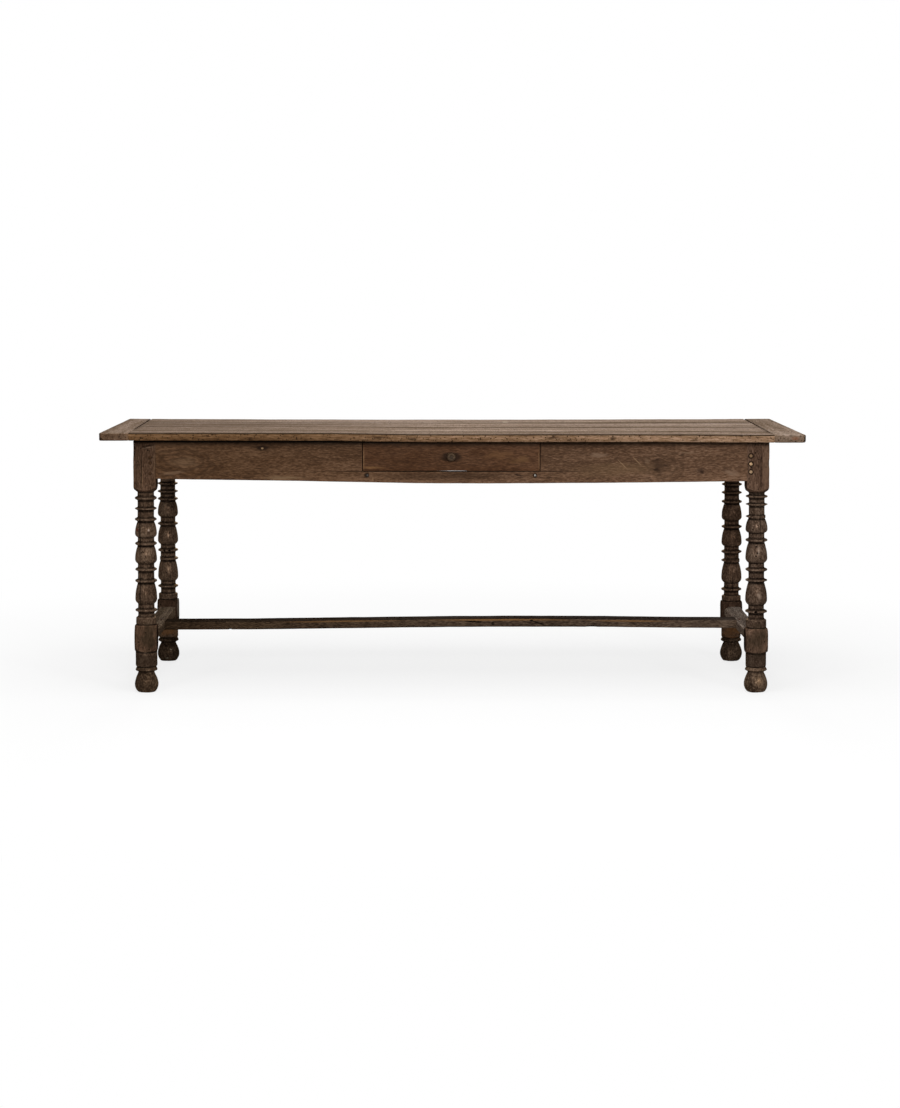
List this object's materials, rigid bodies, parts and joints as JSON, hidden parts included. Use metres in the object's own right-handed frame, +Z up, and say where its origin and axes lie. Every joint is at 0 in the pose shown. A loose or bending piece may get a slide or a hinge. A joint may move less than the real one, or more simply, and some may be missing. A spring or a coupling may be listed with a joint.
{
  "type": "refectory table",
  "caption": "Long oak refectory table with a breadboard-ended plank top, turned baluster legs on bun feet, an H stretcher and a shallow drawer in the front apron.",
  "frame": {"origin": "on the floor, under the middle of the table top", "axes": "+X along the table to the right of a person facing the drawer front, +Y to the back, +Z up"},
  "size_m": [2.1, 0.77, 0.78],
  "materials": {
    "top_oak": "dry worn oak with grey brown patina",
    "apron_oak": "dark waxed oak",
    "turned_oak": "dark waxed oak, turned",
    "foot_oak": "dark worn oak, turned",
    "stretcher_oak": "dusty foot-worn oak",
    "drawer_oak": "red brown waxed wood",
    "drawer_lining": "unfinished wood",
    "pale_peg": "new pale wood",
    "dark_peg": "dark waxed wood",
    "iron": "hand-forged, worn"
  },
  "bodies": {
    "frame": {"top_board_1": "top_oak", "top_board_2": "top_oak", "top_board_3": "top_oak", "top_board_4": "top_oak", "breadboard_left": "top_oak", "breadboard_right": "top_oak", "breadboard_pegs": "dark_peg", "top_dowels": "dark_peg", "apron_pegs_dark": "dark_peg", "stretcher_pegs": "dark_peg", "apron_pegs_pale": "pale_peg", "apron_front": "apron_oak", "apron_back": "apron_oak", "apron_left": "apron_oak", "apron_right": "apron_oak", "leg_front_left": "turned_oak", "foot_front_left": "foot_oak", "leg_front_right": "turned_oak", "foot_front_right": "foot_oak", "leg_rear_left": "turned_oak", "foot_rear_left": "foot_oak", "leg_rear_right": "turned_oak", "foot_rear_right": "foot_oak", "side_stretcher_left": "stretcher_oak", "side_stretcher_right": "stretcher_oak", "long_stretcher": "stretcher_oak", "drawer_runner_left": "drawer_lining", "drawer_runner_right": "drawer_lining", "drawer_guide_left": "drawer_lining", "drawer_guide_right": "drawer_lining", "drawer_stops": "drawer_lining", "runner_nails": "iron"},
    "drawer": {"drawer_front": "drawer_oak", "drawer_side_left": "drawer_lining", "drawer_side_right": "drawer_lining", "drawer_back": "drawer_lining", "drawer_bottom": "drawer_lining", "drawer_knob": "drawer_oak"}
  },
  "joints": [
    {"name": "drawer_slide", "type": "slide", "parent": "frame", "child": "drawer", "axis": [0, -1, 0], "range_m": [0, 0.3]}
  ]
}
